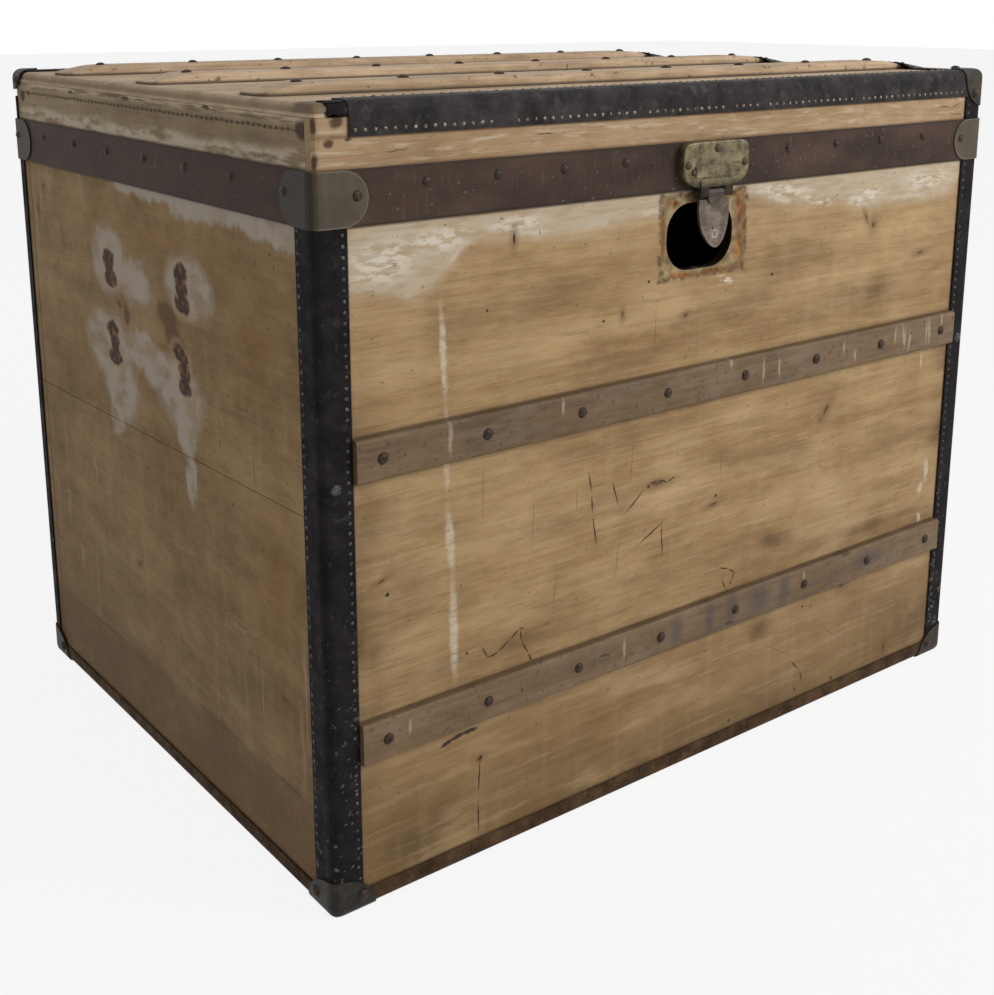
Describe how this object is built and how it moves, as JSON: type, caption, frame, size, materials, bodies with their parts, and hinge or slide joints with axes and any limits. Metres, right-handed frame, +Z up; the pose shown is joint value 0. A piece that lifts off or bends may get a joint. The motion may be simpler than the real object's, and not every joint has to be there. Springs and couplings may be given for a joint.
{
  "type": "travel trunk",
  "caption": "Rectangular wooden travel trunk with a hinged lid, leather edge bindings, pressed metal corners, wooden battens and a hasp tongue hanging from a cast plate.",
  "frame": {"origin": "on the floor, under the middle of the closed trunk", "axes": "+X along the length, to the right as seen from the front; the front with the hasp faces -Y; +Z is up"},
  "size_m": [0.8086, 0.6364, 0.6629],
  "materials": {
    "poplar": "bare weathered poplar with dirt and pale residue",
    "batten_wood": "dark weathered hardwood with rounded edges",
    "leather": "cracked black leather, worn grey on the edges",
    "fibre": "matt dark brown vulcanised fibre",
    "painted_steel": "thin dull brown paint over pressed steel",
    "brass": "cast brass with a dull green-brown patina",
    "iron": "dull bare iron"
  },
  "bodies": {
    "case": {"back_batten_lower": "batten_wood", "back_batten_upper": "batten_wood", "back_board": "poplar", "bottom_binding_back": "leather", "bottom_binding_front": "leather", "bottom_binding_left": "leather", "bottom_binding_right": "leather", "bottom_board": "poplar", "bottom_cap_back_left": "painted_steel", "bottom_cap_back_right": "painted_steel", "bottom_cap_front_left": "painted_steel", "bottom_cap_front_right": "painted_steel", "corner_leather_back_left": "leather", "corner_leather_back_right": "leather", "corner_leather_front_left": "leather", "corner_leather_front_right": "leather", "front_batten_lower": "batten_wood", "front_batten_upper": "batten_wood", "front_board": "poplar", "hinge_leaf_case_left": "painted_steel", "hinge_leaf_case_right": "painted_steel", "hinge_pin_left": "painted_steel", "hinge_pin_right": "painted_steel", "left_board": "poplar", "lip_strip_back": "poplar", "lip_strip_front": "poplar", "lip_strip_left": "poplar", "lip_strip_right": "poplar", "right_board": "poplar"},
    "lid": {"band_back": "fibre", "band_front": "fibre", "band_left": "fibre", "band_right": "fibre", "bracket_back_left": "painted_steel", "bracket_back_right": "painted_steel", "bracket_front_left": "painted_steel", "bracket_front_right": "painted_steel", "hasp_pin": "iron", "hinge_leaf_lid_left": "painted_steel", "hinge_leaf_lid_right": "painted_steel", "lid_binding_back": "leather", "lid_binding_front": "leather", "lid_binding_right": "leather", "lid_cap_back_left": "painted_steel", "lid_cap_back_right": "painted_steel", "lid_cap_front_right": "painted_steel", "lid_corner_leather_back_left": "leather", "lid_corner_leather_back_right": "leather", "lid_corner_leather_front_right": "leather", "lid_rail_back": "poplar", "lid_rail_front": "poplar", "lid_rail_left": "poplar", "lid_rail_right": "poplar", "lid_top_board": "poplar", "lock_plate": "brass", "top_batten_back": "poplar", "top_batten_front": "poplar", "top_batten_middle": "poplar"},
    "hasp": {"hasp_tongue": "iron"}
  },
  "joints": [
    {"name": "lid_hinge", "type": "hinge", "parent": "case", "child": "lid", "pos_m": [0, 0.3131, 0.5636], "axis": [-1, 0, 0], "range_deg": [0, 105]},
    {"name": "hasp_hinge", "type": "hinge", "parent": "lid", "child": "hasp", "pos_m": [-0.001, -0.3131, 0.5606], "axis": [-1, 0, 0], "range_deg": [-5, 100]}
  ]
}
